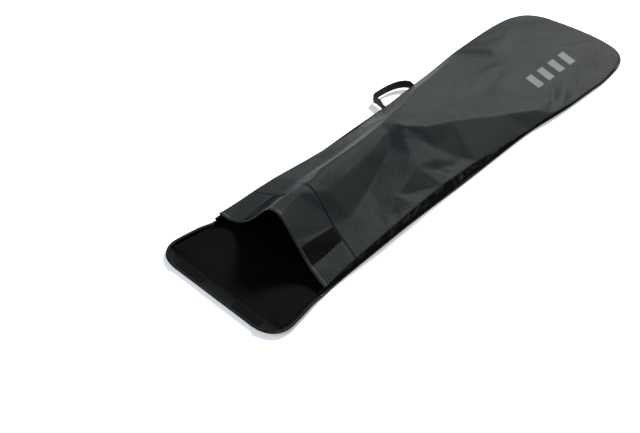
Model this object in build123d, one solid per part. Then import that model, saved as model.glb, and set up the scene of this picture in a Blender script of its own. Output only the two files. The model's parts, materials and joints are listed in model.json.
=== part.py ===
from build123d import *
import os

# Snowboard bag: a long sewn sack, in millimetres, lying on its flat base with +Z up. Its mouth is at the -X end and
# its rounded closed end at +X. The base runs on beyond the mouth as a flap, which folds up and over the mouth.
# A webbing carry handle is sewn to the +Y side. The origin is on the underside of the base, on the centreline,
# halfway along the bag. Each cut and sewn piece of fabric is a thin solid of its own.

LENGTH = 1650.0  # from the flap's free edge to the closed end
FABRIC = 1.5  # coated fabric of the base, walls and flap, with its seam allowance
TOP_FABRIC = 2.0  # top fabric, measured along Z
TAPE = 10.0  # binding tape's visible width
TAPE_THICKNESS = 1.0
GAP = 0.3  # between curved faces of neighbouring pieces
WALL_LEAN = 0.35  # how far the side walls lean in for each millimetre of height

FOLD_X = -650.0  # where the flap folds up from the base
FOLD_TO_TUCK = 142.0  # from there to the second fold, which tucks over the mouth
HINGE_GAP = 2.0  # from a fold line to the fabric on each side of it
FLAP_FLAT = 140.0  # half the straight stretch of the flap's free edge
TIP_FLAT = 90.0  # half the straight stretch of the closed end

MOUTH_CORNER_X = -632.0  # the mouth's edge at the two sides
MOUTH_CREST_X = -600.0  # the mouth's edge on the centreline
FACING_DEPTH = 124.0  # the band sewn behind the mouth's edge
END_SEAM_X = 290.0  # where the closed end's wall joins the two side walls
PATCH_LENGTH = 104.0  # loop patches, along the bag
PATCH_SPAN = 40.0  # loop patches, across the bag in plan
PATCH_Y = 100.0  # both kinds of patch, from the centreline
HOOK_LENGTH = 20.0  # hook patches, along the bag
HOOK_SPAN = 90.0

HANDLE_WIDTH = 25.0
HANDLE_THICKNESS = 2.0
HANDLE_TOP_Z = 30.0  # the webbing stands on edge below this height, and swings about it
HANDLE_ROOT_Y = 200.0
HANDLE_REACH = 40.0  # from its roots out to its far edge
HANDLE_START_X = 30.0
HANDLE_SPAN = 150.0
HANDLE_END_LENGTH = 22.0  # each sewn-down end

BAR_WIDTH = 34.0  # printed mark: four slanted bars
BAR_PITCH = 62.0
BAR_START = (420.0, -108.0)
BAR_HEIGHT = 60.0

# Half the base's width at distances along the bag. The first point is where the flap's corner meets its side.
SIDES = [(-757, 208), (-650, 193), (-480, 187), (-300, 186), (-100, 191), (100, 193), (270, 198), (420, 214)]
SIDES += [(560, 221), (700, 218)]

# The top at distances along the bag: height at the side seams, height and offset of the ridge, and two powers. The
# first power widens the section's crown, and the second makes its crown sharper and its skirts hollower.
STATIONS = [
    (-680, 13, 128, 0, 2.0, 2.5),
    (-600, 17, 130, 0, 2.0, 2.7),
    (-500, 29, 130, 20, 2.0, 3.6),
    (-380, 40, 130, 36, 1.9, 2.6),
    (-240, 44, 130, 36, 1.8, 2.0),
    (-130, 52, 134, 4, 1.8, 1.7),
    (-20, 40, 112, 0, 2.0, 1.6),
    (120, 33, 80, 0, 2.6, 1.4),
    (270, 21, 50, 0, 3.2, 1.2),
    (430, 14, 36, 0, 4.0, 1.0),
    (640, 14, 28, 0, 4.0, 1.0),
    (850, 12, 18, 0, 4.0, 1.0),
]
ROWS = 26  # steps of the top's grid along the bag
COLUMNS = 20  # and across it
REACH = 260.0  # half-width of the cutting tools
TALL = 400.0  # height of the cutting tools
WALL_TOP = 160.0

TIP_X = LENGTH / 2
FLAP_X = -LENGTH / 2
TUCK_X = FOLD_X - FOLD_TO_TUCK
FACING_CORNER_X = MOUTH_CORNER_X + FACING_DEPTH
FACING_CREST_X = MOUTH_CREST_X + FACING_DEPTH


def half_width(x):
    """Half the base's width at x, by straight lines between the points of SIDES."""
    for (x0, w0), (x1, w1) in zip(SIDES, SIDES[1:]):
        if x <= x1:
            return w0 + (w1 - w0) * max(0.0, x - x0) / (x1 - x0)
    return SIDES[-1][1]


def section(x):
    """The top's cross-section at x, by straight lines between the rows of STATIONS."""
    for low, high in zip(STATIONS, STATIONS[1:]):
        if x <= high[0]:
            t = (x - low[0]) / (high[0] - low[0])
            return [a + (b - a) * t for a, b in zip(low, high)]
    return STATIONS[-1]


def top_height(x, y):
    """Height of the top's outer face."""
    x, edge, crest, ridge, spread, sharpness = section(x)
    side = half_width(x) - ridge if y > ridge else half_width(x) + ridge
    t = min(1.0, abs(y - ridge) / side)
    return edge + (crest - edge) * (1 - t**spread) ** sharpness


def top_face():
    """The top's outer face, somewhat larger than the bag on every side."""
    x0, x1 = STATIONS[0][0], STATIONS[-1][0]
    xs = [x0 + (x1 - x0) * i / ROWS for i in range(ROWS + 1)]
    ys = [REACH * (2 * i / COLUMNS - 1) for i in range(COLUMNS + 1)]
    grid = [[Vector(x, y, top_height(x, y)) for y in ys] for x in xs]
    return Face.make_surface_from_array_of_points(grid, tol=0.5, min_deg=3)


def layer(low, high):
    """The solid between two copies of the top's outer face, moved along Z by low and by high."""
    return Pos(0, 0, low) * extrude(TOP_FACE, high - low, dir=(0, 0, 1))


def outline(inset):
    """The plan of the whole bag with its flap, drawn in by inset."""
    side = [(x, w - inset) for x, w in SIDES]
    flap, tip = FLAP_X + inset, TIP_X - inset
    flap_corner = Spline((flap, FLAP_FLAT), side[0], tangents=[(0, 1), (1, -0.1)])
    edge = Spline(side, tangents=[(1, -0.1), (1, -0.1)])
    tip_corner = Spline(side[-1], (tip, TIP_FLAT), tangents=[(1, -0.1), (0, -1)])
    left = [flap_corner, edge, tip_corner]
    right = [mirror(curve, about=Plane.XZ) for curve in left]
    ends = [Line((x, -y), (x, y)) for x, y in ((flap, FLAP_FLAT), (tip, TIP_FLAT))]
    return make_face(left + right + ends)


def tapered(inset):
    """The plan as a tall solid whose sides lean in, drawn in by inset at the base."""
    return loft([outline(inset), Pos(0, 0, WALL_TOP) * outline(inset + WALL_TOP * WALL_LEAN)], ruled=True)


def block(x0, x1, y0=-REACH, y1=REACH, z0=-TALL / 2, z1=TALL):
    """A box between stated limits."""
    return Pos((x0 + x1) / 2, (y0 + y1) / 2, (z0 + z1) / 2) * Box(x1 - x0, y1 - y0, z1 - z0)


def beyond(corner_x, crest_x):
    """Everything on the +X side of a shallow arc in plan, which passes both side walls and the centreline."""
    end_x = crest_x + (corner_x - crest_x) * (REACH / half_width(corner_x)) ** 2
    arc = ThreePointArc((end_x, REACH), (crest_x, 0), (end_x, -REACH))
    rest = Polyline((end_x, -REACH), (LENGTH, -REACH), (LENGTH, REACH), (end_x, REACH))
    return Pos(0, 0, -TALL / 2) * extrude(make_face([arc, rest]), TALL * 1.5)


def band(corner_x, crest_x, depth):
    """The strip of a stated depth on the +X side of such an arc."""
    return beyond(corner_x, crest_x) - beyond(corner_x + depth, crest_x + depth)


def plate(inset, z0, z1, x0, x1):
    """A flat layer of the plan between two heights and two distances along the bag."""
    return Pos(0, 0, z0) * extrude(outline(inset), z1 - z0) & block(x0, x1)


def save(name, shape):
    """Writes one piece. A piece may be a group of separate solids."""
    solids = shape.solids()
    export_step(solids[0] if len(solids) == 1 else Compound(children=list(solids)), f"parts/{name}.step")


def make_top(walls, cavity):
    """The top panel, the facing at the mouth, and the tape that binds the mouth's edge."""
    skin = layer(-TOP_FABRIC, 0) & walls
    save("top_panel", skin & beyond(FACING_CORNER_X + GAP, FACING_CREST_X + GAP))
    save("mouth_facing", skin & band(MOUTH_CORNER_X, MOUTH_CREST_X, FACING_DEPTH))
    clear = GAP / 2
    outside = layer(-TOP_FABRIC - clear - TAPE_THICKNESS, clear + TAPE_THICKNESS)
    wrap = outside & cavity & band(MOUTH_CORNER_X - TAPE_THICKNESS, MOUTH_CREST_X - TAPE_THICKNESS, TAPE)
    core = layer(-TOP_FABRIC - clear, clear) & beyond(MOUTH_CORNER_X - clear, MOUTH_CREST_X - clear)
    save("mouth_binding", wrap - core)


def make_top_trim():
    """The loop patches on the facing, and the printed mark on the top panel."""
    pile = layer(GAP / 2, GAP / 2 + TAPE_THICKNESS)
    patch_x = MOUTH_CREST_X + 4
    for name, y in (("loop_patch_left", PATCH_Y), ("loop_patch_right", -PATCH_Y)):
        save(name, pile & block(patch_x, patch_x + PATCH_LENGTH, y - PATCH_SPAN / 2, y + PATCH_SPAN / 2))
    ink = layer(0.1, 0.4)
    x, y = BAR_START
    slant = BAR_WIDTH / 2
    bar = make_face(Polyline((x, y), (x + BAR_WIDTH, y), (x + BAR_WIDTH + slant, y + BAR_HEIGHT),
                             (x + slant, y + BAR_HEIGHT), close=True))
    bars = [ink & Pos(BAR_PITCH * i, 0, 0) * extrude(bar, TALL) for i in range(4)]
    save("printed_mark", Compound(children=[solid for b in bars for solid in b.solids()]))


def make_walls(walls, cavity):
    """The three lengths of side wall, and the base."""
    wall = (walls - cavity) & layer(-TALL, -TOP_FABRIC - GAP) & beyond(MOUTH_CORNER_X, MOUTH_CREST_X)
    wall = wall & block(-LENGTH, LENGTH, z0=FABRIC)
    save("gusset_left", wall & block(-LENGTH, END_SEAM_X, 0, REACH))
    save("gusset_right", wall & block(-LENGTH, END_SEAM_X, -REACH, 0))
    save("gusset_closed_end", wall & block(END_SEAM_X + GAP, LENGTH))
    save("bottom_panel", plate(0, 0, FABRIC, FOLD_X + HINGE_GAP, LENGTH))


def make_seam_tapes():
    """The tapes that bind the seams inside, along the top and along the base."""
    ring = tapered(FABRIC + GAP) - tapered(FABRIC + GAP + TAPE)
    inside = ring & beyond(MOUTH_CORNER_X + 2 * TAPE, MOUTH_CREST_X + 2 * TAPE)
    top = -TOP_FABRIC - GAP
    save("upper_seam_tape", inside & layer(top - TAPE_THICKNESS, top))
    save("lower_seam_tape", inside & block(-LENGTH, LENGTH, z0=FABRIC, z1=FABRIC + TAPE_THICKNESS))


def make_flap():
    """The flap in two lengths, with its edge binding, the facing of its free end, and the hook patches."""
    end = (FLAP_X - 1, TUCK_X - HINGE_GAP)
    middle = (TUCK_X + HINGE_GAP, FOLD_X - HINGE_GAP)
    face_z = FABRIC + TAPE_THICKNESS
    save("flap_base_panel", plate(0, 0, FABRIC, *middle))
    save("flap_end_panel", plate(0, 0, FABRIC, *end))
    rim = plate(0, FABRIC, face_z, *(-LENGTH, LENGTH)) - plate(TAPE, 0, TALL, *(-LENGTH, LENGTH))
    save("flap_base_binding", rim & block(*middle))
    save("flap_end_binding", rim & block(*end))
    save("flap_end_facing", plate(TAPE, FABRIC, face_z, *end))
    hook_x = FLAP_X + TAPE
    for name, y in (("hook_patch_left", PATCH_Y), ("hook_patch_right", -PATCH_Y)):
        y0, y1 = y - HOOK_SPAN / 2, y + HOOK_SPAN / 2
        save(name, block(hook_x, hook_x + HOOK_LENGTH, y0, y1, face_z, face_z + TAPE_THICKNESS))


def make_handle():
    """The webbing that stands off the +Y wall, its two sewn-down ends, and their bar tacks."""
    root_z = HANDLE_TOP_Z - HANDLE_WIDTH
    x0, x1 = HANDLE_START_X, HANDLE_START_X + HANDLE_SPAN
    out_y = HANDLE_ROOT_Y + HANDLE_REACH
    bends = [(x0, HANDLE_ROOT_Y), (x0 + 10, out_y - 4), (x1 - 45, out_y), (x1, HANDLE_ROOT_Y)]
    path = FilletPolyline(*bends, radius=[12, 40])
    save("handle_webbing", Pos(0, 0, root_z) * extrude(trace(path, HANDLE_THICKNESS), HANDLE_WIDTH))
    ends = tapered(-GAP - HANDLE_THICKNESS) - tapered(-GAP)
    ends = ends & block(-LENGTH, LENGTH, 0, REACH, root_z, HANDLE_TOP_Z)
    thread = tapered(-GAP - HANDLE_THICKNESS - 0.6) - tapered(-GAP - HANDLE_THICKNESS)
    tacks = []
    for name, start in (("handle_end_front", x0 - HANDLE_END_LENGTH), ("handle_end_rear", x1)):
        save(name, ends & block(start, start + HANDLE_END_LENGTH))
        for x in (start + 4, start + HANDLE_END_LENGTH - 6):
            tacks += (thread & block(x, x + 2, 0, REACH, root_z + 3, HANDLE_TOP_Z - 3)).solids()
    save("handle_bar_tacks", Compound(children=tacks))


def make_mouth_tacks(walls):
    """The bar tacks that close the mouth's two corners, on the outside of the walls."""
    thread = tapered(-0.9) - walls
    corner = thread & block(MOUTH_CORNER_X + 3, MOUTH_CORNER_X + 5, z0=FABRIC + 1, z1=11)
    save("mouth_bar_tacks", corner)


TOP_FACE = top_face()


def main():
    os.makedirs("parts", exist_ok=True)
    walls = tapered(0)
    cavity = tapered(FABRIC)
    make_top(walls, cavity)
    make_top_trim()
    make_walls(walls, cavity)
    make_seam_tapes()
    make_flap()
    make_handle()
    make_mouth_tacks(walls)


main()
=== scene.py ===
import json
import math

import bmesh
import bpy
import numpy as np
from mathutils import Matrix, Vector, geometry, noise


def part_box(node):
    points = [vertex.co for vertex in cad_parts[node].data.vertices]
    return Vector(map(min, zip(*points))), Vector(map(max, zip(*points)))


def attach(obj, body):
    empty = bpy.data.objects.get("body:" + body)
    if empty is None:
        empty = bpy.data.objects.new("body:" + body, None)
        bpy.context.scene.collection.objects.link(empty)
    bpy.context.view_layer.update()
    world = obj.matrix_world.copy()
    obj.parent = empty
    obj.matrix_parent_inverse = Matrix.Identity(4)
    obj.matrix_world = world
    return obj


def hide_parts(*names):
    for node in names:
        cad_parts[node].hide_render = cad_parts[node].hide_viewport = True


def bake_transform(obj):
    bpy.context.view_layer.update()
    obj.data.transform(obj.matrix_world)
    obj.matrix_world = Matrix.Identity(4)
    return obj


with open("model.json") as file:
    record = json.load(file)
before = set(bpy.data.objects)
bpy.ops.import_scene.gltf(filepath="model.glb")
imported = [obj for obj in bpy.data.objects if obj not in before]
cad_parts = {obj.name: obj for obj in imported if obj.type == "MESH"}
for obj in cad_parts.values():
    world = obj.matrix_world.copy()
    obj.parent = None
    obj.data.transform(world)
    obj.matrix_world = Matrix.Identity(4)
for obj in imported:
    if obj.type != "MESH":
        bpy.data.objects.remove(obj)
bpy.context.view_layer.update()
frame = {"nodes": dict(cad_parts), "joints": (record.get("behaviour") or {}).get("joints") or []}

# Snowboard bag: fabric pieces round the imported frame, in metres. +X runs from the mouth to the closed end,
# +Y is the handle's side and +Z is up. Each fabric is a grid of points with a fabric's thickness.


# ---------- places, from the frame

def cad_points(*nodes):
    """The vertices of some CAD nodes."""
    return np.vstack([np.array([v.co for v in frame["nodes"][n].data.vertices], float) for n in nodes])


def joint_place(name):
    return next(Vector(j["pos_m"]) for j in frame["joints"] if j["name"] == name)


PLAN = cad_points("flap_end_panel", "flap_base_panel", "bottom_panel")
PLAN = PLAN[PLAN[:, 1] > 0]
PLAN = PLAN[np.argsort(PLAN[:, 0], kind="stable")]
TIP_X = PLAN[-1, 0]
TIP_FLAT = PLAN[-1, 1]  # half the straight stretch of the closed end
FLAP_X = PLAN[0, 0]
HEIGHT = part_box("top_panel")[1].z
TUCK_X = joint_place("flap_tuck").x
BASE_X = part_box("bottom_panel")[0].x
END_SEAM_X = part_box("gusset_closed_end")[0].x
MOUTH_CORNER_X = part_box("mouth_facing")[0].x
FACING = cad_points("mouth_facing")
CREST = FACING[np.abs(FACING[:, 1]) < 0.03]
MOUTH_CREST_X = CREST[:, 0].min()
FACING_DEPTH = CREST[:, 0].max() - MOUTH_CREST_X

FABRIC = 0.0012
BASE_FABRIC = 0.0011
WALL_FABRIC = 0.0010
TIP_INSET = 0.012  # the top's end stands this far in from the base's
TAPER_X = 0.5  # from here on the top's edge draws in towards that inset


def unit(vectors):
    return vectors / np.linalg.norm(vectors, axis=-1, keepdims=True)


def path_lengths(path):
    """The distance along a path to each of its points."""
    return np.concatenate([[0], np.cumsum(np.linalg.norm(np.diff(path, axis=0), axis=1))])


def base_half(x):
    """Half the base's width at x."""
    return np.interp(x, PLAN[:, 0], PLAN[:, 1])


# ---------- the shape of the top

# The side seams: place along the bag, half-width as a share of the base's, and height.
RIGHT_SEAM = np.array([
    (-0.66, 0.965, 0.012), (-0.632, 0.965, 0.016), (-0.53, 0.975, 0.030), (-0.38, 0.985, 0.042),
    (-0.28, 0.975, 0.044), (-0.16, 0.945, 0.045), (-0.01, 0.945, 0.036), (0.11, 0.975, 0.026),
    (0.24, 0.995, 0.013), (0.34, 1.0, 0.021), (0.45, 1.0, 0.013), (0.62, 1.0, 0.012),
    (0.70, 0.99, 0.014), (0.75, 0.965, 0.020), (0.785, 0.985, 0.012), (0.83, 1.0, 0.014),
])
LEFT_SEAM = np.array([
    (-0.66, 0.985, 0.020), (-0.632, 0.985, 0.026), (-0.51, 0.975, 0.030), (-0.43, 0.965, 0.030),
    (-0.315, 0.925, 0.027), (-0.20, 0.885, 0.025), (-0.11, 0.87, 0.025), (0.0, 0.88, 0.028),
    (0.08, 0.90, 0.030), (0.18, 0.95, 0.026), (0.25, 0.98, 0.020), (0.41, 0.99, 0.014),
    (0.55, 0.955, 0.019), (0.68, 0.935, 0.015), (0.83, 0.95, 0.014),
])

# The lines along which the fabric is pulled tight or tucked in. Each place is centimetres behind the mouth's
# crest, a share of the base's half-width and a share of the top's height. First the places where lines meet.
CREST_FRONT = (0, 0.03, 0.97)
SEAM_TOP = (12.5, 0.07, 0.97)
SEAM_SHOULDER = (12, 0.20, 0.91)
CREST_REAR = (45, 0.22, 0.96)
PEAK = (47.5, -0.02, 1.01)
ELBOW = (42, -0.58, 0.61)
FOLDS = {
    "mouth": [(-3.5, 0.86, 0.16), (-3, 0.83, 0.10), (-2, 0.68, 0.14), (-1, 0.52, 0.30), (-1, 0.44, 0.43),
              (0, 0.22, 0.84), (0, 0.12, 0.94), CREST_FRONT, (0, -0.06, 0.94), (0, -0.20, 0.76),
              (-0.5, -0.33, 0.56), (-1.5, -0.54, 0.30), (-2, -0.68, 0.18), (-3, -0.82, 0.12)],
    "facing_seam": [(8.5, 0.70, 0.27), (10, 0.58, 0.33), (11, 0.43, 0.50), (11.5, 0.32, 0.68),
                    SEAM_SHOULDER, SEAM_TOP, (12.5, -0.06, 0.89), (12.5, -0.16, 0.74), (12, -0.26, 0.57),
                    (11, -0.40, 0.41), (10, -0.62, 0.28)],
    "crest": [CREST_FRONT, (8, 0.05, 0.98), SEAM_TOP, (16, 0.12, 0.98), (20, 0.18, 0.98), (38, 0.20, 0.98),
              CREST_REAR],
    "peak": [CREST_REAR, (46.5, 0.10, 0.97), PEAK],
    "right_ridge": [PEAK, (49, -0.10, 0.98), (53, -0.23, 0.91), (62, -0.35, 0.77), (80, -0.69, 0.46),
                    (90, -0.86, 0.30), (94, -0.93, 0.20)],
    "left_ridge": [CREST_REAR, (50, 0.32, 0.88), (60, 0.43, 0.75), (70, 0.62, 0.60), (80, 0.73, 0.45),
                   (99, 0.88, 0.20)],
    "front_valley": [(46.5, -0.03, 0.95), (41, -0.11, 0.72), (34, -0.21, 0.58), (28, -0.32, 0.46),
                     (17.5, -0.47, 0.38)],
    "peak_drop": [PEAK, (47.5, -0.06, 0.96), (46, -0.17, 0.87), (43, -0.40, 0.72), ELBOW],
    "rear_valley": [(49, -0.13, 0.91), (50, -0.20, 0.84), (50, -0.32, 0.72), (52.5, -0.51, 0.54),
                    (56.5, -0.79, 0.32)],
    "arch": [ELBOW, (45, -0.60, 0.58), (49, -0.64, 0.53), (52, -0.73, 0.42), (54.5, -0.79, 0.33)],
    "elbow_front": [ELBOW, (36, -0.64, 0.53), (31, -0.69, 0.46), (24, -0.80, 0.36)],
    "elbow_down": [ELBOW, (37.5, -0.72, 0.45), (35.5, -0.78, 0.36)],
    "under_arch": [(46, -0.70, 0.43), (49.5, -0.75, 0.39)],
    "shoulder": [(15, -0.10, 0.84), (24, -0.10, 0.84), (32, -0.04, 0.86), (44, 0.08, 0.92)],
    "shoulder_top": [(16, 0.05, 0.95), (32, 0.09, 0.95), (40, 0.14, 0.95)],
    "left_shoulder": [(0, 0.15, 0.92), (6, 0.18, 0.93), SEAM_SHOULDER],
    "left_slope": [(19, 0.30, 0.82), (19, 0.58, 0.38)],
    "left_slope_middle": [(29, 0.30, 0.80), (29, 0.58, 0.38)],
    "left_slope_rear": [(42, 0.35, 0.79), (42, 0.58, 0.40)],
    "valley_rear": [(60, 0, 0.73), (70, 0.04, 0.57), (80, 0, 0.42), (92, 0, 0.29), (106, 0, 0.20),
                    (138, 0, 0.15)],
    "tail_right": [(100, -0.80, 0.17), (110, -0.88, 0.13), (122, -0.88, 0.13), (134, -0.60, 0.13)],
    "tail_left": [(110, 0.67, 0.20), (124, 0.67, 0.16), (136, 0.44, 0.14)],
}


def on_bag(along, across, up):
    """The point at centimetres behind the mouth's crest and shares of the half-width and the height."""
    x = MOUTH_CREST_X + 0.01 * along
    return x, across * base_half(x), up * HEIGHT


# Soft creases: from (x, y) to (x, y), how wide, and how high, or how deep where it is below zero.
CREASES = [
    (0.405, 0.212, 0.470, 0.120, 0.014, -0.0050), (0.440, 0.205, 0.520, 0.100, 0.018, 0.0035),
    (0.560, 0.120, 0.680, 0.165, 0.020, 0.0025), (0.520, 0.175, 0.640, 0.140, 0.016, -0.0025),
    (0.350, -0.205, 0.460, -0.135, 0.012, -0.0050), (0.395, -0.212, 0.500, -0.150, 0.012, 0.0040),
    (0.440, -0.214, 0.540, -0.170, 0.010, -0.0035), (0.500, -0.200, 0.640, -0.130, 0.014, 0.0030),
    (0.620, -0.195, 0.720, -0.090, 0.014, -0.0030), (0.660, -0.200, 0.780, -0.100, 0.012, 0.0030),
    (0.720, 0.060, 0.790, -0.020, 0.014, 0.0025), (0.690, -0.020, 0.790, -0.070, 0.012, -0.0025),
    (0.230, 0.020, 0.330, 0.050, 0.012, 0.0022), (0.270, -0.010, 0.400, 0.020, 0.012, -0.0022),
    (0.330, 0.060, 0.450, 0.050, 0.014, 0.0020), (0.120, 0.040, 0.230, 0.075, 0.014, -0.0018),
    (-0.150, -0.138, -0.128, -0.168, 0.005, 0.0025), (-0.132, -0.142, -0.108, -0.172, 0.005, -0.0022),
    (-0.112, -0.148, -0.086, -0.176, 0.005, 0.0020), (-0.200, -0.152, -0.182, -0.176, 0.005, 0.0022),
    (-0.262, -0.180, -0.300, -0.120, 0.010, 0.0022), (-0.388, -0.184, -0.372, -0.130, 0.009, -0.0020),
    (-0.325, -0.158, -0.362, -0.184, 0.009, -0.0060), (-0.555, -0.150, -0.520, -0.165, 0.008, 0.0022),
    (-0.580, -0.135, -0.530, -0.150, 0.006, -0.0018), (0.340, -0.212, 0.372, -0.190, 0.008, 0.0050),
]


def crease_heights(x, y):
    """What the creases add to the height at each place."""
    z = 0.0 * x
    for x0, y0, x1, y1, width, height in CREASES:
        run, rise = x1 - x0, y1 - y0
        t = np.clip(((x - x0) * run + (y - y0) * rise) / (run**2 + rise**2), 0, 1)
        away = np.hypot(x - x0 - t * run, y - y0 - t * rise)
        z = z + height * np.exp(-((away / width) ** 2)) * (0.35 + 0.65 * np.sin(math.pi * (0.1 + 0.8 * t)))
    return z


def seam(seam_rows, x):
    """Half-width and height of a side seam of the top at x."""
    plan_x = x + TIP_INSET * np.clip((x - TAPER_X) / (TIP_X - TIP_INSET - TAPER_X), 0, 1)
    half = base_half(plan_x) * np.interp(x, seam_rows[:, 0], seam_rows[:, 1])
    return half, np.interp(x, seam_rows[:, 0], seam_rows[:, 2])


NET_MARGIN = 0.05  # how far the net runs on past the seams and the closed end
NET_END = [(y, 0.014) for y in np.linspace(-0.28, 0.28, 8)]  # across and up, beyond the closed end
NET_FRONT = [(-0.25, 0.012), (-0.1, 0.05), (0.0, 0.129), (0.1, 0.06), (0.25, 0.02)]  # and before the mouth
NET_FRONT_X = -0.70


def fold_net():
    """The folds and seams as triangles: their corners, and each triangle's three indices."""
    points, edges = [], []

    def add(line):
        first = len(points)
        points.extend(line)
        edges.extend((first + i, first + i + 1) for i in range(len(line) - 1))

    for line in FOLDS.values():
        add([on_bag(*place) for place in line])
    for rows, side in ((RIGHT_SEAM, -1), (LEFT_SEAM, 1)):
        half, z = seam(rows, rows[:, 0])
        add([(x, side * h, height) for x, h, height in zip(rows[:, 0], half, z)])
        points.extend((x, side * (h + NET_MARGIN), height) for x, h, height in zip(rows[:, 0], half, z))
    points.extend((TIP_X + NET_MARGIN, y, z) for y, z in NET_END)
    points.extend((NET_FRONT_X, y, z) for y, z in NET_FRONT)
    flat = [Vector(p[:2]) for p in points]
    made = geometry.delaunay_2d_cdt(flat, edges, [], 0, 1e-5)
    heights = []
    for place, sources in zip(made[0], made[3]):
        if sources:
            heights.append(points[sources[0]][2])
        else:
            nearest = sorted(points, key=lambda p: (Vector(p[:2]) - place).length)[:2]
            heights.append(sum(p[2] for p in nearest) / 2)
    return np.array([(*p, h) for p, h in zip(made[0], heights)]), made[2]


NET_POINTS, NET_TRIANGLES = fold_net()


def net_height(x, y):
    """Height of the folded net under each place."""
    z = np.full(x.shape, np.nan)
    for triangle in NET_TRIANGLES:
        a, b, c = NET_POINTS[list(triangle)]
        det = (b[1] - c[1]) * (a[0] - c[0]) + (c[0] - b[0]) * (a[1] - c[1])
        if abs(det) < 1e-12:
            continue
        u = ((b[1] - c[1]) * (x - c[0]) + (c[0] - b[0]) * (y - c[1])) / det
        v = ((c[1] - a[1]) * (x - c[0]) + (a[0] - c[0]) * (y - c[1])) / det
        inside = (u >= -1e-9) & (v >= -1e-9) & (u + v <= 1 + 1e-9)
        z[inside] = (u * a[2] + v * b[2] + (1 - u - v) * c[2])[inside]
    return z


def blurred(z, steps):
    """A grid of heights softened by repeated averaging with its neighbours."""
    for _ in range(steps):
        p = np.pad(z, 1, mode="reflect", reflect_type="odd")
        z = (4 * z + p[:-2, 1:-1] + p[2:, 1:-1] + p[1:-1, :-2] + p[1:-1, 2:]) / 8
    return z


def waves(x, y, size, amount, seed):
    """Smooth unevenness of about that wavelength and height."""
    places = zip(x.ravel() / size, y.ravel() / size)
    return amount * np.array([noise.noise(Vector((a, b, seed))) for a, b in places]).reshape(x.shape)


class Top:
    """The top's outer face as a grid over the whole bag. Each piece on the top reads its heights from it."""

    START_X = MOUTH_CORNER_X - 0.02
    END_X = TIP_X - TIP_INSET
    STEP = 0.004
    ROWS = int((END_X - START_X) / STEP)
    COLUMNS = 104

    def __init__(self):
        self.xs = np.linspace(self.START_X, self.END_X, self.ROWS + 1)
        self.vs = np.linspace(-1, 1, self.COLUMNS + 1)
        x, v = np.meshgrid(self.xs, self.vs, indexing="ij")
        y = self.across(x, v)
        z = blurred(net_height(x, y), 2)
        uneven = waves(x, y, 0.12, 0.0032, 3.1) + waves(x, y, 0.045, 0.0010, 7.7) + crease_heights(x, y)
        self.z = blurred(z + (1 - v**8) * uneven, 1)  # the unevenness fades out at the seams

    def across(self, x, v):
        """y at a share v of the way from the centreline to a seam."""
        right, left = seam(RIGHT_SEAM, x)[0], seam(LEFT_SEAM, x)[0]
        return np.where(v < 0, v * right, v * left)

    def share(self, x, y):
        """The share of the way to a seam at y."""
        right, left = seam(RIGHT_SEAM, x)[0], seam(LEFT_SEAM, x)[0]
        return np.where(y < 0, y / right, y / left)

    def height(self, x, v):
        """Height at each x and share v, by the straight line between grid points."""
        i = np.clip((x - self.xs[0]) / (self.xs[1] - self.xs[0]), 0, self.ROWS - 1e-6)
        j = np.clip((v + 1) / 2 * self.COLUMNS, 0, self.COLUMNS - 1e-6)
        i0, j0 = i.astype(int), j.astype(int)
        a, b = i - i0, j - j0
        z = self.z
        low = z[i0, j0] * (1 - b) + z[i0, j0 + 1] * b
        high = z[i0 + 1, j0] * (1 - b) + z[i0 + 1, j0 + 1] * b
        return low * (1 - a) + high * a

    def height_at(self, x, y):
        return self.height(x, self.share(x, y))

    def normals(self, x, y):
        """Unit normals of the top, from its slopes. At the seams the slopes are taken just inside them."""
        d = 0.003
        at_seam = np.abs(self.share(x, y)) > 0.97
        inward = y * (1 - 2 * d / np.maximum(np.abs(y), 0.05) * at_seam)
        slope_x = (self.height_at(x + d, inward) - self.height_at(x - d, inward)) / (2 * d)
        slope_y = (self.height_at(x, inward + d) - self.height_at(x, inward - d)) / (2 * d)
        return unit(np.stack([-slope_x, -slope_y, np.ones_like(slope_x)], axis=-1))

    def points(self, x, y, lift=0.0):
        """Points on the top, lifted off it."""
        return np.stack([x, y, self.height_at(x, y)], axis=-1) + self.normals(x, y) * lift


TOP = Top()


def mouth_x(y):
    """The mouth's edge in plan."""
    return MOUTH_CREST_X + (MOUTH_CORNER_X - MOUTH_CREST_X) * (y / base_half(MOUTH_CORNER_X)) ** 2


# ---------- mesh helpers

def grid_faces(rows, columns, closed=False):
    """Quads of a grid of points, row by row. A closed grid's last column joins its first."""
    wide = columns if closed else columns - 1
    return [(i * columns + j, (i + 1) * columns + j,
             (i + 1) * columns + (j + 1) % columns, i * columns + (j + 1) % columns)
            for i in range(rows - 1) for j in range(wide)]


def new_object(name, data):
    thing = bpy.data.objects.new(name, data)
    bpy.context.scene.collection.objects.link(thing)
    return thing


def add_mesh(name, points, faces, uv, materials):
    """A smooth mesh object from points and faces, with UVs in metres where it has them."""
    mesh = bpy.data.meshes.new(name)
    mesh.from_pydata([tuple(p) for p in np.reshape(points, (-1, 3))], [], faces)
    if uv is not None:
        layer = mesh.uv_layers.new(name="cut")
        uv = np.reshape(uv, (-1, 2))
        for loop in mesh.loops:
            layer.data[loop.index].uv = uv[loop.vertex_index]
    for material in materials:
        mesh.materials.append(material)
    for polygon in mesh.polygons:
        polygon.use_smooth = True
    mesh.validate()
    return new_object(name, mesh)


def outwards(piece):
    """Turns every face of a closed mesh outwards."""
    work = bmesh.new()
    work.from_mesh(piece.data)
    bmesh.ops.recalc_face_normals(work, faces=work.faces)
    work.to_mesh(piece.data)
    work.free()
    return piece


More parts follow.
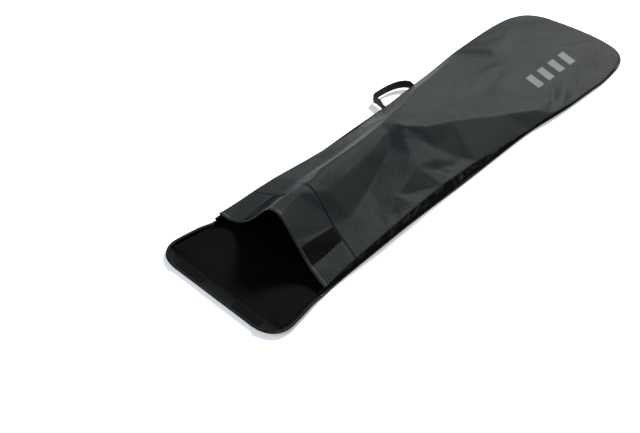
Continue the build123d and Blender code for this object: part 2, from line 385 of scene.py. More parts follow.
def cut_uv(points):
    """UVs in metres along the rows and columns of a grid of points, as the fabric was cut."""
    along = np.linalg.norm(np.diff(points, axis=0), axis=-1)
    across = np.linalg.norm(np.diff(points, axis=1), axis=-1)
    u = np.concatenate([np.zeros((1, points.shape[1])), np.cumsum(along, axis=0)])
    v = np.concatenate([np.zeros((points.shape[0], 1)), np.cumsum(across, axis=1)], axis=1)
    middle = points.shape[1] // 2
    return np.stack([u[:, middle:middle + 1] + 0 * u, v - v[:, middle:middle + 1]], axis=-1)


def close_borders(points, near=0.08):
    """A grid with one more row and column close to each border, which keeps the shading flat up to it."""
    for _ in range(2):
        first = points[:1] * (1 - near) + points[1:2] * near
        last = points[-1:] * (1 - near) + points[-2:-1] * near
        points = np.concatenate([points[:1], first, points[1:-1], last, points[-1:]]).transpose(1, 0, 2)
    return points


def fabric(name, points, outer, inner, thickness=FABRIC, flip=False):
    """A sheet of fabric from a grid of points on its outer face, with the materials of its two faces."""
    points = close_borders(points)
    rows, columns = points.shape[:2]
    faces = grid_faces(rows, columns)
    if flip:
        faces = [tuple(reversed(f)) for f in faces]
    piece = add_mesh(name, points, faces, cut_uv(points), (outer, inner))
    solid = piece.modifiers.new("thickness", "SOLIDIFY")
    solid.thickness = thickness
    solid.offset = -1
    solid.material_offset = 1
    solid.material_offset_rim = 0
    solid.use_even_offset = False
    return piece


def place(piece, body, slot, *nodes):
    """Rides a piece on a body and has it stand for CAD nodes. The slot it is given is not used."""
    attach(piece, body)
    if nodes:
        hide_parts(*nodes)
    return piece


# ---------- materials

class Nodes:
    """A material's node tree, with short calls for what the materials here share."""

    def __init__(self, name):
        self.material = bpy.data.materials.new(name)
        self.material.use_nodes = True
        self.tree = self.material.node_tree
        self.shader = next(n for n in self.tree.nodes if n.type == "BSDF_PRINCIPLED")

    def add(self, kind, **settings):
        node = self.tree.nodes.new(kind)
        for key, value in settings.items():
            setattr(node, key, value)
        return node

    def feed(self, socket, value):
        """Links another node's output to a socket, or sets a number or an RGB colour on it."""
        if hasattr(value, "links"):
            self.tree.links.new(value, socket)
        else:
            socket.default_value = (*value, 1) if isinstance(value, tuple) else value

    def math(self, operation, a, b=None):
        node = self.add("ShaderNodeMath", operation=operation)
        self.feed(node.inputs[0], a)
        if b is not None:
            self.feed(node.inputs[1], b)
        return node.outputs[0]

    def cut(self):
        """The fabric's own coordinates in metres, along and across."""
        split = self.add("ShaderNodeSeparateXYZ")
        self.feed(split.inputs[0], self.add("ShaderNodeUVMap", uv_map="cut").outputs[0])
        return split.outputs[0], split.outputs[1]

    def texture(self, kind, scale, **settings):
        """A texture node on the object's coordinates."""
        node = self.add(kind, **settings)
        self.feed(node.inputs["Vector"], self.add("ShaderNodeTexCoord").outputs["Object"])
        node.inputs["Scale"].default_value = scale
        return node

    def noise(self, scale, detail=2.0, roughness=0.5):
        node = self.texture("ShaderNodeTexNoise", scale)
        node.inputs["Detail"].default_value = detail
        node.inputs["Roughness"].default_value = roughness
        return node.outputs["Fac"]

    def ramp(self, value, *stops):
        """A colour ramp from (position, colour) stops. A colour may be one grey."""
        node = self.add("ShaderNodeValToRGB")
        self.feed(node.inputs[0], value)
        while len(node.color_ramp.elements) < len(stops):
            node.color_ramp.elements.new(0.5)
        for element, (position, colour) in zip(node.color_ramp.elements, stops):
            element.position = position
            element.color = (colour, colour, colour, 1) if isinstance(colour, float) else (*colour, 1)
        return node.outputs[0]

    def mix(self, amount, a, b):
        node = self.add("ShaderNodeMix", data_type="RGBA")
        for socket, value in zip((0, 6, 7), (amount, a, b)):  # the factor and the two colours
            self.feed(node.inputs[socket], value)
        return node.outputs[2]

    def bump(self, height, distance, strength=1.0, onto=None):
        node = self.add("ShaderNodeBump")
        self.feed(node.inputs["Height"], height)
        node.inputs["Distance"].default_value = distance
        node.inputs["Strength"].default_value = strength
        if onto is not None:
            self.feed(node.inputs["Normal"], onto)
        return node.outputs[0]

    def finish(self, colour, normal, roughness, **constants):
        self.feed(self.shader.inputs["Base Color"], colour)
        if normal is not None:
            self.feed(self.shader.inputs["Normal"], normal)
        self.feed(self.shader.inputs["Roughness"], roughness)
        for key, value in constants.items():
            self.shader.inputs[key.replace("_", " ")].default_value = value
        return self.material


def lattice(m, pitch, turn):
    """Two cosines across each other over the fabric, as if woven at an angle to its length."""
    u, v = m.cut()
    c, s = math.cos(math.radians(turn)), math.sin(math.radians(turn))
    wave = 2 * math.pi / pitch
    p = m.math("ADD", m.math("MULTIPLY", u, c * wave), m.math("MULTIPLY", v, s * wave))
    q = m.math("SUBTRACT", m.math("MULTIPLY", v, c * wave), m.math("MULTIPLY", u, s * wave))
    return m.math("COSINE", p), m.math("COSINE", q)


def fine_weave(m, pitch):
    """Plain weave: the height of warp and weft threads crossing over and under."""
    p, q = lattice(m, pitch, 0.0)
    return m.math("MULTIPLY", p, q)


def dobby(name, turn):
    """Charcoal fabric with a lattice of small pits, on a plain weave, with a soft sheen."""
    m = Nodes(name)
    p, q = lattice(m, 0.0064, turn)
    depth = m.ramp(m.math("MINIMUM", p, q), (0.0, 1.0), (0.1, 0.9), (0.45, 0.0))
    ground = m.ramp(m.noise(9.0, 3.0), (0.3, (0.0295, 0.0314, 0.0325)), (0.7, (0.0340, 0.0362, 0.0374)))
    # The small pits are coloured far darker than the ground: partly the weave's own slightly darker squares,
    # partly painted shade in the pits.
    colour = m.mix(depth, (0.0060, 0.0064, 0.0072), ground)
    coarse = m.bump(depth, 0.0006, 0.7)
    normal = m.bump(fine_weave(m, 0.0011), 0.00012, 0.5, coarse)
    rough = m.math("ADD", m.math("MULTIPLY", m.noise(30.0), 0.10), 0.36)
    return m.finish(colour, normal, rough, Specular_IOR_Level=0.033)


def coated(name, dark, light, rough, gloss):
    """Coated fabric: a fine plain weave under a smooth film, with faint clouding and crease marks."""
    m = Nodes(name)
    colour = m.ramp(m.noise(14.0, 4.0, 0.6), (0.3, dark), (0.75, light))
    creases = m.bump(m.noise(38.0, 5.0, 0.65), 0.0025, 0.35)
    normal = m.bump(fine_weave(m, 0.0009), 0.00008, 0.5, creases)
    roughness = m.math("ADD", m.math("MULTIPLY", m.noise(60.0), 0.15), rough)
    return m.finish(colour, normal, roughness, Specular_IOR_Level=gloss)


def ribbed(name, base, pitch, rough):
    """Woven tape or webbing: ribs across its length, with fine threads between."""
    m = Nodes(name)
    p, q = lattice(m, pitch, 0.0)
    ribs = m.math("ADD", m.math("MULTIPLY", p, 0.6), m.math("MULTIPLY", m.math("MULTIPLY", p, q), 0.4))
    # Darker in the grooves between the ribs, where the bump sinks: painted shade in the grooves.
    groove_shaded_tone = m.ramp(ribs, (0.0, tuple(c * 0.5 for c in base)), (0.8, base))
    colour = m.mix(m.math("MULTIPLY", m.noise(50.0), 0.4), groove_shaded_tone, tuple(c * 1.5 for c in base))
    return m.finish(colour, m.bump(ribs, 0.0004, 0.7), rough, Sheen_Weight=0.03, Specular_IOR_Level=0.15)


def pile(name, base, scale, height):
    """Loop pile or hooks: a dense field of small round tufts."""
    m = Nodes(name)
    tufts = m.texture("ShaderNodeTexVoronoi", scale, feature="F1").outputs["Distance"]
    # Lighter on the tufts' tops and darker in the gaps between them, following the bump: painted highlight
    # on the tops and painted shade in the gaps.
    colour = m.ramp(tufts, (0.0, tuple(c * 1.4 for c in base)), (0.8, tuple(c * 0.4 for c in base)))
    fuzz = m.bump(m.noise(900.0, 4.0, 0.7), 0.0006, 0.6)
    normal = m.bump(m.math("SUBTRACT", 1.0, tufts), height, 0.8, fuzz)
    return m.finish(colour, normal, 0.9, Sheen_Weight=0.02, Specular_IOR_Level=0.06)


TOP_CLOTH = dobby("top_dobby", 45.0)
FACING_CLOTH = dobby("facing_dobby", 33.0)
# The walls are dark coated fabric, given about half the base fabric's colour as painted shade on the walls
# under the top's overhanging edge.
WALL_CLOTH_SHADED = coated("coated_wall_painted_shade", (0.0014, 0.0015, 0.0017), (0.0028, 0.0029, 0.0033), 0.32, 0.16)
BASE_CLOTH = coated("coated_base", (0.0030, 0.0032, 0.0035), (0.0055, 0.0058, 0.0063), 0.45, 0.3)
LINING = coated("lining", (0.0010, 0.0010, 0.0011), (0.0022, 0.0022, 0.0024), 0.6, 0.04)
FLAP_FACING = coated("flap_facing", (0.0020, 0.0021, 0.0022), (0.0036, 0.0038, 0.0038), 0.6, 0.07)
HEM = coated("mouth_hem", (0.0065, 0.0068, 0.0072), (0.0095, 0.0099, 0.0105), 0.5, 0.3)
THREAD = ribbed("thread", (0.0070, 0.0072, 0.0075), 0.0008, 0.5)
INK = coated("print_ink", (0.125, 0.130, 0.130), (0.155, 0.160, 0.160), 0.55, 0.2)
TAPE = ribbed("binding_tape", (0.0022, 0.0023, 0.0025), 0.0016, 0.6)
WEBBING = ribbed("webbing", (0.0085, 0.0088, 0.0088), 0.0022, 0.55)
LOOP_PILE = pile("loop_pile", (0.0030, 0.0033, 0.0030), 900.0, 0.0008)
HOOKS = pile("hooks", (0.0035, 0.0035, 0.0035), 650.0, 0.0010)


# ---------- the top

TURN = [(0.0007, -0.0013), (-0.0006, -0.0030), (-0.0042, -0.0036)]  # how a seamed edge turns under: out, up
GROOVE = [(0.0002, -0.0030), (0.0005, -0.0012), (0.0013, 0.0)]  # how it dips into a seam: from the seam, up


def hemmed(row, turn):
    """A row of points across the bag with each end turned over, through places (outward, upward) of it."""
    right = [row[0] + (0, -out, up) for out, up in turn]
    left = [row[-1] + (0, out, up) for out, up in turn]
    return np.vstack([right[::-1], row, left])


def top_rows(xs_of_y):
    """Points on the top along each plan curve, with the edges turned under at the side seams."""
    grid = []
    for x_of_y in xs_of_y:
        x = x_of_y(0.0 * TOP.vs)
        for _ in range(3):  # the curve's place depends on y, and the seams' on x
            x = x_of_y(TOP.across(x, TOP.vs))
        grid.append(hemmed(TOP.points(x, TOP.across(x, TOP.vs)), TURN))
    return np.array(grid)


def moved(row, along, up):
    """A grid's row again, moved along the bag and up."""
    return row + np.array((along, 0, up))


def facing_seam_x(y):
    """The facing's rear seam in plan: the facing narrows a little towards its sides."""
    return mouth_x(y) + FACING_DEPTH * (1 - 0.12 * (y / base_half(MOUTH_CORNER_X)) ** 2)


def make_top_panel():
    """The top from the facing's seam to the closed end, its rows closer together towards that end."""
    body = 1 - (1 - np.linspace(0, 1, 330)) ** 1.25
    curves = [lambda y, t=t: facing_seam_x(y) * (1 - t) + GROOVE[-1][0] + TOP.END_X * t for t in body[:-1]]
    curves.append(lambda y: TOP.END_X + 0.0 * y)
    grid = top_rows(curves)
    front = [moved(grid[:1], along - GROOVE[-1][0], up) for along, up in GROOVE[:-1]]
    back = [moved(grid[-1:], out, up) for out, up in TURN]
    piece = fabric("top_fabric", np.concatenate(front + [grid] + back), TOP_CLOTH, LINING)
    return place(piece, "bag", "top_fabric", "top_panel")


def make_facing():
    """The band from the mouth's edge to its seam."""
    curves = [lambda y, t=t: mouth_x(y) * (1 - t) + (facing_seam_x(y) - GROOVE[-1][0]) * t
              for t in np.linspace(0, 1, 40)]
    grid = top_rows(curves)
    back = [moved(grid[-1:], GROOVE[-1][0] - along, up) for along, up in GROOVE[-2::-1]]
    piece = fabric("facing_fabric", np.concatenate([grid] + back), FACING_CLOTH, LINING)
    return place(piece, "bag", "top_fabric", "mouth_facing")


# ---------- the base's outline and the walls

OUTLINE_STEP = 0.005
WALL_INSET = 0.0036  # how far the walls stand in from the seams and start below the top
WALL_FOOT = 0.0026
WALL_ROWS = 12


def spaced(points, step):
    """Points spaced evenly along a line through others."""
    along = path_lengths(points)
    even = np.linspace(0, along[-1], max(2, int(along[-1] / step)))
    return np.stack([np.interp(even, along, points[:, i]) for i in range(points.shape[1])], axis=1)


def side_outline(side, lap=0.0):
    """The base's outline along one side wall, and lap further. The left one runs back to the mouth."""
    xs = np.linspace(BASE_X + 0.002, END_SEAM_X + lap, 60)
    right = spaced(np.stack([xs, -base_half(xs)], axis=1), OUTLINE_STEP)
    return right if side < 0 else right[::-1] * (1, -1)


def end_outline(x0):
    """The base's outline from x0 on the right, round the closed end, to x0 on the left."""
    xs = np.concatenate([[x0], PLAN[PLAN[:, 0] > x0][:, 0]])
    right = np.stack([xs, -base_half(xs)], axis=1)
    right = right[np.concatenate([[True], np.linalg.norm(np.diff(right, axis=0), axis=1) > 1e-6])]
    right = np.vstack([right, (TIP_X, -TIP_FLAT)])
    return spaced(np.vstack([right, right[::-1] * (1, -1)]), OUTLINE_STEP)


def inward(path):
    """Unit vectors to the left of a plan path, which is inwards for the outline."""
    t = np.gradient(path, axis=0)
    return unit(np.stack([-t[:, 1], t[:, 0]], axis=1))


def top_edge(base):
    """The top's edge above each point of the base's outline."""
    x = base[:, 0] - TIP_INSET * np.clip((base[:, 0] - TAPER_X) / (TIP_X - TAPER_X), 0, 1)
    share = np.where(base[:, 1] < 0, np.interp(x, RIGHT_SEAM[:, 0], RIGHT_SEAM[:, 1]),
                     np.interp(x, LEFT_SEAM[:, 0], LEFT_SEAM[:, 1]))
    y = base[:, 1] * share
    return np.stack([x, y, TOP.height(x, np.clip(TOP.share(x, y), -1, 1))], axis=1)


def wall_grid(base, out=0.0):
    """Points of a wall from the top's edge down to the base's, sunk in and creased between them."""
    edge, inner = top_edge(base), inward(base)
    along = path_lengths(base) + base[0, 1] * 7  # each wall starts elsewhere in the noise
    high = edge[:, 2] - WALL_INSET
    grid = []
    for t in np.linspace(0, 1, WALL_ROWS):
        sink = math.sin(math.pi * t**0.6) * (0.24 * high + 0.001)
        fold = np.array([noise.noise(Vector((a * 22, t * 1.2, 5.0))) for a in along])
        crease = np.array([1 - abs(noise.noise(Vector((a * 34, t * 2.4, 9.0)))) * 2.2 for a in along])
        sink = sink * (1 + 0.8 * fold) + 4 * t * (1 - t) * high * 0.16 * np.clip(crease, 0, 1)
        plan = edge[:, :2] * (1 - t) + base * t + inner * (WALL_INSET + sink - out)[:, None]
        grid.append(np.column_stack([plan, high * (1 - t) + WALL_FOOT * t]))
    return np.array(grid).transpose(1, 0, 2)


def make_wall(name, base, node, out=0.0):
    piece = fabric(name, wall_grid(base, out), WALL_CLOTH_SHADED, LINING, WALL_FABRIC, flip=True)
    place(piece, "bag", "coated_fabric", node)


def make_walls():
    """The wall round the closed end stands a little further out and laps over the two side walls."""
    make_wall("wall_right", side_outline(-1, 0.006), "gusset_right")
    make_wall("wall_left", side_outline(1, 0.006), "gusset_left")
    make_wall("wall_closed_end", end_outline(END_SEAM_X), "gusset_closed_end", 0.0013)


# ---------- the base and the flap

BASE_HEM = [(0.0006, 0.0012), (-0.0004, 0.0026), (-0.0040, 0.0030)]  # how its edge rolls over: out, up
RIM_LIFT = 0.0090  # how high the open flap's rim turns up
FLAP_SPLIT_X = 0.5 * (BASE_X + TUCK_X)


def base_rise(x, y):
    """The base's height over the ground: nearly flat, with the flap's rim turned up."""
    rim = np.clip((np.abs(y) / base_half(x) - 0.86) / 0.14, 0, 1) ** 2.5
    flap = np.clip((BASE_X + 0.01 - x) / 0.05, 0, 1)
    tip = np.clip((FLAP_X + 0.03 - x) / 0.03, 0, 1) ** 2 * 0.6
    lifted = 1 - (1 - rim) * (1 - tip)
    return 0.0012 + flap * lifted * RIM_LIFT + waves(x, y, 0.09, 0.0005, 2.3)


def base_rows(xs, hem=True):
    """Points on the base's upper face for each x, its edges rolled over when it has a hem."""
    vs = np.linspace(-1, 1, 81)
    grid = []
    for x in xs:
        half = base_half(x) - 0.0005
        y = np.sin(vs * math.pi / 2 * 0.999) * half if FLAP_X + 0.05 > x else vs * half
        row = np.column_stack([np.full(y.shape, x), y, base_rise(np.full(y.shape, x), y)])
        grid.append(hemmed(row, BASE_HEM) if hem else row)
    return np.array(grid)


def make_base():
    end = TIP_X - 0.0006
    xs = end - (end - BASE_X) * (1 - np.linspace(0, 1, 300)) ** 1.3
    grid = base_rows(xs)
    under = [moved(grid[-1:], out, up) for out, up in BASE_HEM[:2]]
    piece = fabric("base_fabric", np.concatenate([grid, *under]), LINING, BASE_CLOTH, BASE_FABRIC)
    return place(piece, "bag", "coated_fabric", "bottom_panel")


def place_on_flap(piece, end_part, node):
    """Bakes a piece's place into its mesh, the same for the flap's root and its end, and hides the CAD node
    it stands for.
    """
    if end_part:
        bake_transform(piece)
    else:
        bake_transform(piece)
    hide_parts(node)


def flap_xs(end_part):
    if not end_part:
        return np.linspace(BASE_X, FLAP_SPLIT_X, 24)
    depth = FLAP_SPLIT_X - FLAP_X - 0.0004
    return FLAP_SPLIT_X - depth * (1 - (1 - np.linspace(0, 1, 40)) ** 1.8)


def make_flap():
    """The flap in two lengths, root and tip."""
    for end_part, name, node in ((False, "flap_root_fabric", "flap_base_panel"),
                                 (True, "flap_tip_fabric", "flap_end_panel")):
        grid = base_rows(flap_xs(end_part), hem=False)[::-1]
        piece = fabric(name, grid, LINING, BASE_CLOTH, BASE_FABRIC)
        place_on_flap(piece, end_part, node)


def flap_edge(end_part):
    """The flap's rim, from the right root round to the left, or the two side stretches of the root."""
    if end_part:
        xs = flap_xs(True)[:-1]
        right = np.column_stack([xs, -base_half(xs)])
        turn = np.column_stack([np.full(9, FLAP_X), np.linspace(-base_half(FLAP_X), base_half(FLAP_X), 9)])
        return [spaced(np.vstack([right, turn, right[::-1] * (1, -1)]), 0.004)]
    xs = flap_xs(False)
    right = spaced(np.column_stack([xs, -base_half(xs)]), 0.004)
    return [right, right[::-1] * (1, -1)]


def loop_section(half_width, half_thickness, count=10, bow=0.0):
    """A flat closed section as (sideways, upward) places, rounded at its edges and bowed up if asked."""
    s = np.cos(np.linspace(0, math.pi, count))
    rise = half_thickness * np.sqrt(np.clip(1 - s**8, 0, 1))
    middle = bow * (1 - s**2)
    over = np.column_stack([s * half_width, middle + rise])
    below = np.column_stack([s * half_width, middle - rise])[::-1]
    return np.vstack([over, below[1:-1]])


UPRIGHT = np.array([(0.0, 0.0, 1.0)])


def sweep(name, path, side, up, section, material):
    """A closed section of (sideways, upward) places carried along a path, its ends closed."""
    grid = path[:, None] + side[:, None] * section[None, :, :1] + up[:, None] * section[None, :, 1:]
    rows, columns = grid.shape[:2]
    faces = grid_faces(rows, columns, closed=True)
    faces += [tuple(range(columns)), tuple((rows - 1) * columns + i for i in reversed(range(columns)))]
    return outwards(add_mesh(name, grid, faces, cut_uv(grid), (material,)))


def joined(name, parts):
    """Several mesh objects as one."""
    with bpy.context.temp_override(active_object=parts[0], selected_editable_objects=parts, object=parts[0],
                                   selected_objects=parts):
        bpy.ops.object.join()
    parts[0].name = name
    return parts[0]


RIM_TAPE = 0.008  # the rim tape's width


def rim_tape(name, edges):
    """A tape folded over the flap's rim, swept just inside its edge."""
    parts = []
    for edge in edges:
        inner = inward(edge)
        inner *= -np.sign(np.sum(inner * (edge - (TUCK_X, 0.0))))
        z = base_rise(edge[:, 0] + inner[:, 0] * 0.002, edge[:, 1]) + 0.0006
        path = np.column_stack([edge + inner * RIM_TAPE * 0.5, z])
        side = np.column_stack([inner, 0 * z])
        parts.append(sweep(name, path, side, UPRIGHT, loop_section(RIM_TAPE * 0.5, 0.0011), TAPE))
    return joined(name, parts)


def make_flap_trim():
    """The rim's tapes, and the facing strip inside the flap's free end."""
    for end_part, name, node in ((False, "flap_root_tape", "flap_base_binding"),
                                 (True, "flap_tip_tape", "flap_end_binding")):
        place_on_flap(rim_tape(name, flap_edge(end_part)), end_part, node)
    xs = np.linspace(FLAP_X + 0.007, FLAP_X + 0.036, 10)
    rows = base_rows(xs, hem=False)
    rows[:, :, 1] *= 1 - 0.009 / base_half(xs)[:, None]
    rows[:, :, 2] += 0.0012
    piece = fabric("flap_facing_fabric", rows, FLAP_FACING, LINING, 0.0008)
    place_on_flap(piece, True, "flap_end_facing")


def make_hook_patches():
    for side in ("left", "right"):
        low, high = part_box(f"hook_patch_{side}")
        x, y = np.meshgrid(np.linspace(low.x, high.x, 12), np.linspace(low.y, high.y, 30), indexing="ij")
        grid = np.stack([x, y, base_rise(x, y) + 0.0028], axis=-1)
        piece = fabric(f"hooks_{side}", grid, HOOKS, HOOKS, 0.0014)
        place_on_flap(piece, True, f"hook_patch_{side}")


# ---------- what is sewn on the top

PATCH_SETBACK = 0.0085  # from the mouth's edge to the loop patches
PATCH_GAP = 0.002  # and from them to the facing's seam


def make_mouth_binding():
    """A tape folded over the mouth's edge."""
    v = np.linspace(-0.992, 0.992, 150)
    x = mouth_x(TOP.across(np.full(v.shape, MOUTH_CORNER_X), v))
    y = TOP.across(x, v)
    normal = TOP.normals(x, y)
    edge = TOP.points(x, y)
    back = np.cross(unit(np.gradient(edge, axis=0)), normal)
    back *= np.sign(back[:, :1])
    over = [(0.0090, 0.0001), (0.0088, 0.0010), (0.0070, 0.0013), (0.0030, 0.0014), (0.0, 0.0010)]
    under = [(-0.0016, 0.0), (-0.0018, -0.0012), (-0.0006, -0.0024), (0.0030, -0.0027), (0.0085, -0.0026)]
    grid = np.array([edge + back * away + normal * up for away, up in over + under]).transpose(1, 0, 2)
    piece = fabric("mouth_tape", grid, HEM, HEM, 0.0006)
    return place(piece, "bag", "binding_tape", "mouth_binding")


def on_top(xs, ys, lift):
    """A grid of places on the top, its border turned down on to it."""
    x, y = np.meshgrid(xs, ys, indexing="ij")
    lifts = np.full(x.shape, lift)
    lifts[[0, -1], :] = 0.0
    lifts[:, [0, -1]] = 0.0
    normal = TOP.normals(x, y)
    return np.stack([x, y, TOP.height_at(x, y)], axis=-1) + normal * lifts[..., None]


def with_border(low, high, count, border=0.0007):
    """Even places from low to high with two more just inside the ends."""
    return np.concatenate([[low], np.linspace(low + border, high - border, count), [high]])


def loop_patch_span(side):
    """A loop patch's start and end along the bag, at its middle, its two edges, and its middle's y."""
    low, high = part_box(f"loop_patch_{side}")
    middle = 0.5 * (low.y + high.y)
    return mouth_x(middle) + PATCH_SETBACK, facing_seam_x(middle) - PATCH_GAP, low.y, high.y, middle


def make_loop_patches():
    for side in ("left", "right"):
        start, end, low_y, high_y, middle = loop_patch_span(side)
        grid = on_top(with_border(start, end, 60), with_border(low_y, high_y, 26), 0.0020)
        before = TOP.height_at(grid[..., 0], grid[..., 1])
        grid[..., 0] += facing_seam_x(grid[..., 1]) - facing_seam_x(middle)
        grid[..., 2] += TOP.height_at(grid[..., 0], grid[..., 1]) - before
        piece = fabric(f"loops_{side}", grid, LOOP_PILE, LOOP_PILE, 0.0012)
        place(piece, "bag", "loop_pile", f"loop_patch_{side}")


def make_print():
    """Four slanted bars printed near the closed end."""
    low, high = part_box("printed_mark")
    count, slant, filled = 4, 0.018, 0.55  # filled: a bar's share of the pitch
    pitch = (high.x - low.x - slant) / (count - 1 + filled)
    bars = []
    for i in range(count):
        start = low.x + i * pitch
        t, y = np.meshgrid(np.linspace(0, 1, 12), np.linspace(low.y, high.y, 20), indexing="ij")
        x = start + pitch * filled * t + slant * (y - low.y) / (high.y - low.y)
        grid = np.stack([x, y, TOP.height_at(x, y)], axis=-1) + TOP.normals(x, y) * 0.0004
        bars.append(add_mesh(f"bar_{i}", grid, grid_faces(12, 20), cut_uv(grid), (INK,)))
    piece = joined("print_bars", bars)
    solid = piece.modifiers.new("thickness", "SOLIDIFY")
    solid.thickness = 0.0003
    return place(piece, "bag", "print_ink", "printed_mark")


def stitch_row(path, normals, length=0.0030, gap=0.0016, radius=0.00038):
    """Separate stitches along a path: each a short spindle of thread standing a little off the fabric."""
    along = path_lengths(path)
    starts = np.arange(0.001, along[-1] - length, length + gap)
    points, faces = [], []

    def at(line, s):
        return np.array([np.interp(s, along, line[:, i]) for i in range(3)])

    for s in starts:
        a, b, up = at(path, s), at(path, s + length), at(normals, s)
        side = unit(np.cross(b - a, up))
        first = len(points)
        points.append(a)
        for t in (0.18, 0.5, 0.82):
            middle = a * (1 - t) + b * t + up * radius * 0.7
            for turn in (0, math.pi / 2, math.pi, 1.5 * math.pi):
                points.append(middle + radius * (math.cos(turn) * side + math.sin(turn) * up))
        points.append(b)
        for k in range(4):
            j = (k + 1) % 4
            faces.append((first, first + 1 + j, first + 1 + k))
            for ring in (first + 1, first + 5):
                faces.append((ring + k, ring + j, ring + 4 + j, ring + 4 + k))
            faces.append((first + 9 + k, first + 9 + j, first + 13))
    return points, faces


def stitch_piece(name, rows):
    """Rows of stitches as one piece. Each row is (path, normals)."""
    points, faces = [], []
    for path, normals in rows:
        more, their_faces = stitch_row(path, normals)
        faces.extend(tuple(i + len(points) for i in f) for f in their_faces)
        points.extend(more)
    return add_mesh(name, points, faces, None, (THREAD,))


def top_line(x, y, lift=0.0003):
    """A line on the top with its normals."""
    return TOP.points(x, y, lift), TOP.normals(x, y)


def make_top_stitches():
    """A row behind the facing's seam, and one round each loop patch."""
    v = np.linspace(-0.985, 0.985, 400)
    y = TOP.across(np.full(v.shape, MOUTH_CORNER_X + FACING_DEPTH), v)
    rows = [top_line(facing_seam_x(y) + 0.0045, y)]
    inset = 0.0025
    for side in ("left", "right"):
        start, end, low_y, high_y, middle = loop_patch_span(side)
        x0, x1, y0, y1 = start + inset, end - inset, low_y + inset, high_y - inset
        line = spaced(np.array([(x0, y0), (x1, y0), (x1, y1), (x0, y1), (x0, y0)]), 0.002)
        x = line[:, 0] + facing_seam_x(line[:, 1]) - facing_seam_x(middle)
        rows.append(top_line(x, line[:, 1], 0.0021))
    return place(stitch_piece("top_stitches", rows), "bag", "thread")


# ---------- inside seams, tacks and the handle

def make_seam_tapes():
    """Tape folded over the raw seams inside, along the top's edge and along the base's."""
    base = end_outline(BASE_X + 0.04)
    inner = inward(base)
    side = np.column_stack([inner, 0 * inner[:, :1]])
    edge = top_edge(base)
    section = loop_section(0.005, 0.0009, 7)
    low = np.column_stack([base + inner * 0.012, np.full(len(base), 0.0030)])
    high = edge + side * 0.011
    high[:, 2] = np.minimum(edge[:, 2] - 0.0058, TOP.height_at(high[:, 0], high[:, 1]) - 0.0045)
    for name, path in (("lower", low), ("upper", high)):
        piece = sweep(f"{name}_tape", path, side, UPRIGHT, section, TAPE)
        place(piece, "bag", "binding_tape", f"{name}_seam_tape")


def tack(centre, along, across, out, length, width, rows):
    """A bar tack: close stitches laid across a short line, over two lengthwise threads."""

    def thread(middle, reach):
        return np.array([middle - reach, middle + reach]), np.array([out, out])

    lines = [thread(centre + along * length * t, across * width * 0.5) for t in np.linspace(-0.5, 0.5, rows)]
    return lines + [thread(centre + across * width * t, along * length * 0.5) for t in (-0.25, 0.25)]


def wall_place(side, x, z):
    """A point on a side wall's outer face."""
    base = side_outline(side)
    row = wall_grid(base)[np.argmin(np.abs(base[:, 0] - x))]
    y = np.interp(-z, -row[:, 2], row[:, 1])
    return np.array((x, y, z))


HANDLE_LOW, HANDLE_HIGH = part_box("handle_webbing")
HANDLE_MIDDLE_Z = 0.5 * (HANDLE_LOW.z + HANDLE_HIGH.z)
STRAP_WIDTH = (HANDLE_HIGH.z - HANDLE_LOW.z) * 1.08
STRAP_THICKNESS = 0.0018
SEWN_SHARE = 0.68  # the strap is folded narrower where it is sewn to the wall, and sits lower
SEWN_MIDDLE_Z = 0.0144
FRONT_END = (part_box("handle_end_front")[0].x, HANDLE_LOW.x)  # where it is sewn down
REAR_END = (HANDLE_HIGH.x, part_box("handle_end_rear")[1].x)


def handle_path():
    """The strap's centre line in plan: sewn on the wall, out to a sharp fold, round a slack bow and back."""
    root, reach = HANDLE_LOW.y, HANDLE_HIGH.y - STRAP_THICKNESS
    near, far = HANDLE_LOW.x, HANDLE_HIGH.x
    lie = (0, 0.0045)  # off the wall
    sewn_front, sewn_rear = (
        [wall_place(1, x, HANDLE_MIDDLE_Z)[:2] + lie for x in (start, 0.5 * (start + end), end)]
        for start, end in (FRONT_END, REAR_END))
    bow = reach - root
    fold = [(near + 0.006, root - 0.004), (near + 0.012, root + bow * 0.45),
            (near + 0.0145, root + bow * 0.86), (near + 0.0175, root + bow * 0.98), (near + 0.025, reach)]
    slack = [(near + 0.048, reach - 0.0003), (near + 0.080, reach - 0.0025), (near + 0.105, reach - 0.007),
             (near + 0.126, reach - 0.0155), (near + 0.140, reach - 0.026), (far - 0.005, root)]
    fine = spaced(np.array([*sewn_front, *fold, *slack, *sewn_rear]), 0.0015)
    for _ in range(4):
        fine[1:-1] = 0.25 * fine[:-2] + 0.5 * fine[1:-1] + 0.25 * fine[2:]
    return fine


def make_handle():
    plan = handle_path()
    out = inward(plan)
    wobble = np.array([noise.noise(Vector((i * 0.05, 1.7, 0.3))) for i in range(len(plan))])
    loose = np.clip((plan[:, 1] - (HANDLE_LOW.y - 0.012)) / 0.012, 0, 1)
    middle_z = SEWN_MIDDLE_Z + (HANDLE_MIDDLE_Z - SEWN_MIDDLE_Z) * loose
    path = np.column_stack([plan, middle_z + 0.0006 * wobble])
    side = np.column_stack([0 * out, SEWN_SHARE + (1 - SEWN_SHARE) * loose])
    lean = np.column_stack([out, 0.02 * wobble])
    section = loop_section(STRAP_WIDTH * 0.5, STRAP_THICKNESS * 0.5, 12, bow=0.0006)
    piece = sweep("handle_strap", path, side, lean, section, WEBBING)
    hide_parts("handle_webbing", "handle_end_front", "handle_end_rear")
    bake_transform(piece)


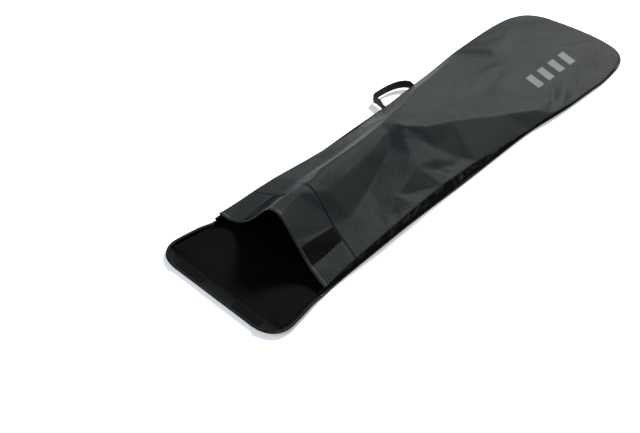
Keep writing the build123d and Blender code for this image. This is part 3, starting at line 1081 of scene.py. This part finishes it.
def make_tacks():
    """Tacks at both ends of each sewn stretch of the handle, and at the mouth's two corners."""
    up = UPRIGHT[0]
    along = np.array((1.0, 0.0, 0.0))
    rows = []
    for start, end in (FRONT_END, REAR_END):
        for x in (start + 0.004, end - 0.004):
            low, high = 0.006, seam(LEFT_SEAM, x)[1] - 0.006
            centre = wall_place(1, x, 0.5 * (low + high)) + (0, 0.0060, 0)
            rows += tack(centre, up, along, np.array((0, 1.0, 0)), high - low, 0.0034, 14)
    place(stitch_piece("handle_tacks", rows), "bag", "thread", "handle_bar_tacks")
    rows = []
    for side in (-1, 1):
        centre = wall_place(side, MOUTH_CORNER_X + 0.004, 0.007) + (0, side * 0.0006, 0)
        rows += tack(centre, up, along, np.array((0, float(side), 0)), 0.008, 0.003, 7)
    place(stitch_piece("mouth_tacks", rows), "bag", "thread", "mouth_bar_tacks")


make_top_panel()
make_facing()
make_walls()
make_base()
make_flap()
make_flap_trim()
make_hook_patches()
make_mouth_binding()
make_loop_patches()
make_print()
make_top_stitches()
make_seam_tapes()
make_handle()
make_tacks()

# ---------- camera, light and floor

CAMERA_PLACE = (-1.6931, -1.1609, 1.5883)
CAMERA_FORWARD = (0.53676, 0.49978, -0.67979)
FLOOR_HALF = 12.0
FLOOR_Z = -0.0004


def make_camera():
    data = bpy.data.cameras.new("camera")
    data.lens = 50.0
    data.sensor_width = 36.0
    camera = new_object("camera", data)
    camera.location = CAMERA_PLACE
    camera.rotation_euler = Vector(CAMERA_FORWARD).to_track_quat("-Z", "Y").to_euler()
    bpy.context.scene.camera = camera


def make_light(name, location, target, size, power, colour):
    data = bpy.data.lights.new(name, "AREA")
    data.shape = "RECTANGLE"
    data.size, data.size_y = size
    data.energy = power
    data.color = colour
    light = new_object(name, data)
    light.location = location
    light.rotation_euler = (Vector(target) - light.location).to_track_quat("-Z", "Y").to_euler()


def make_world(strength):
    world = bpy.data.worlds.new("studio")
    world.use_nodes = True
    background = world.node_tree.nodes["Background"]
    background.inputs["Color"].default_value = (0.80, 0.86, 1.0, 1)
    background.inputs["Strength"].default_value = strength
    bpy.context.scene.world = world


def make_floor():
    m = Nodes("floor")
    colour = m.ramp(m.noise(1.5), (0.4, 0.90), (0.6, 0.92))
    glow = {"Emission_Color": (1, 1, 1, 1), "Emission_Strength": 0.32}
    material = m.finish(colour, None, 0.8, Specular_IOR_Level=0.1, **glow)
    corners = [(x * FLOOR_HALF, y * FLOOR_HALF, FLOOR_Z) for x, y in ((-1, -1), (1, -1), (1, 1), (-1, 1))]
    add_mesh("floor", corners, [(0, 1, 2, 3)], None, (material,))


make_camera()
make_world(0.29)
make_floor()
make_light("softbox_back", location=(5.2, 1.3, 4.4), target=(0.1, 0.0, 0.0), size=(1.5, 1.5), power=725,
           colour=(0.97, 1.0, 0.94))
make_light("softbox_front", location=(-2.5, 0.6, 1.3), target=(-0.2, 0.0, 0.0), size=(1.4, 1.0), power=22,
           colour=(0.82, 0.88, 1.0))
bpy.context.scene.view_settings.view_transform = "Standard"
